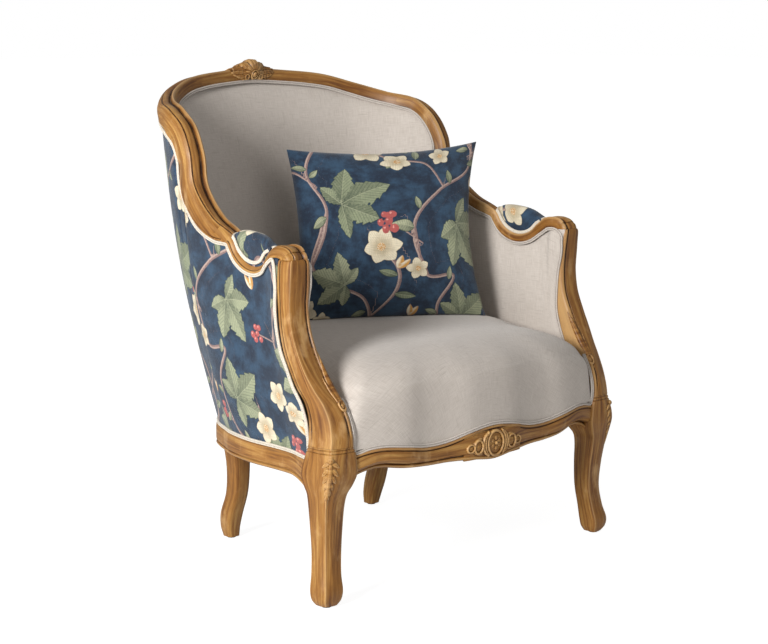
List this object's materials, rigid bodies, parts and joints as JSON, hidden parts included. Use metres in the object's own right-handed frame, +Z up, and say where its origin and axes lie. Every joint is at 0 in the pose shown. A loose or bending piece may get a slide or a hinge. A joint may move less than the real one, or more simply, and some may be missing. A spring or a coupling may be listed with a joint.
{
  "type": "bergere armchair",
  "caption": "Bergere armchair with a carved show-wood frame, cabriole front legs, tight crowned seat, curved upholstered back and arms, and a loose scatter cushion.",
  "frame": {"origin": "on the floor, under the middle of the whole chair's box", "axes": "+Z up, the chair faces -Y, +X towards the sitter's left hand; nodes named right are on +X"},
  "size_m": [0.8056, 0.7552, 0.9692],
  "materials": {
    "oak": "warm honey brown oak, satin wax",
    "beech": "bare beech, hidden",
    "linen": "greige linen weave",
    "print": "navy cotton linen with a botanical print",
    "piping": "off-white covered cord",
    "hessian": "open jute weave",
    "foam": "upholstery foam",
    "wadding": "soft white fibre",
    "dust_cloth": "thin black cloth",
    "glide_plastic": "black moulded",
    "steel": "plain wire and screw steel"
  },
  "bodies": {
    "chair": {"crest_rail": "oak", "front_seat_rail": "oak", "back_seat_rail": "oak", "wing_rail_right": "oak", "wing_rail_left": "oak", "arm_rail_right": "oak", "arm_rail_left": "oak", "arm_post_right": "oak", "arm_post_left": "oak", "front_leg_right": "oak", "front_leg_left": "oak", "back_leg_right": "oak", "back_leg_left": "oak", "side_seat_rail_right": "oak", "side_seat_rail_left": "oak", "back_upright_right": "beech", "back_upright_left": "beech", "back_stay_rail": "beech", "front_corner_block_right": "beech", "front_corner_block_left": "beech", "back_corner_block_right": "beech", "back_corner_block_left": "beech", "front_block_screw_right": "steel", "front_block_screw_left": "steel", "back_block_screw_right": "steel", "back_block_screw_left": "steel", "seat_spring_1": "steel", "seat_spring_2": "steel", "seat_spring_3": "steel", "seat_spring_4": "steel", "front_glide_right": "glide_plastic", "front_glide_left": "glide_plastic", "back_glide_right": "glide_plastic", "back_glide_left": "glide_plastic", "seat_hessian": "hessian", "seat_foam": "foam", "seat_cover": "linen", "seat_welt": "linen", "inside_back_cover": "linen", "inside_arm_cover_right": "linen", "inside_arm_cover_left": "linen", "inside_welt": "linen", "inside_back_pad": "wadding", "inside_arm_pad_right": "wadding", "inside_arm_pad_left": "wadding", "outside_side_panel_right": "print", "outside_side_panel_left": "print", "outside_back_panel": "print", "arm_pad_right": "print", "arm_pad_left": "print", "outside_top_welt": "piping", "outside_low_welt": "piping", "arm_pad_welt_right": "piping", "arm_pad_welt_left": "piping", "dust_cover": "dust_cloth"},
    "cushion": {"cushion_front_cover": "print", "cushion_back_cover": "print", "cushion_filling": "wadding"}
  },
  "joints": [
    {"name": "cushion_lift", "type": "slide", "parent": "chair", "child": "cushion", "axis": [0, 0, 1], "range_m": [0, 0.35]}
  ]
}
